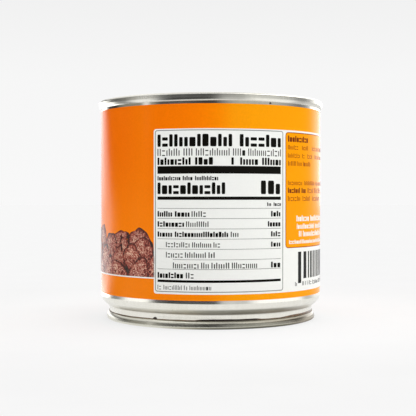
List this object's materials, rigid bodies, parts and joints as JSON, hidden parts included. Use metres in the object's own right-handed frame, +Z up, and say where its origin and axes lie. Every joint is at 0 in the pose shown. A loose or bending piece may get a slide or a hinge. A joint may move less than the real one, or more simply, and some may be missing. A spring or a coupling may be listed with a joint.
{
  "type": "can of chipotle peppers",
  "caption": "Short wide stackable food can with double seams, necked foot, beaded ends and a printed paper label.",
  "frame": {"origin": "centre of the ring the can stands on", "axes": "+Z up along the can's axis, -Y towards the printed panel's side"},
  "size_m": [0.0848, 0.0848, 0.0813],
  "materials": {
    "tinplate_body": "bright tinplate, softly satin",
    "tinplate_ends": "bright tinplate with fine turning marks",
    "label_paper": "glossy coated paper, printed"
  },
  "bodies": {
    "root": {"can_body": "tinplate_body", "top_end": "tinplate_ends", "base_end": "tinplate_ends", "label": "label_paper"}
  },
  "joints": []
}
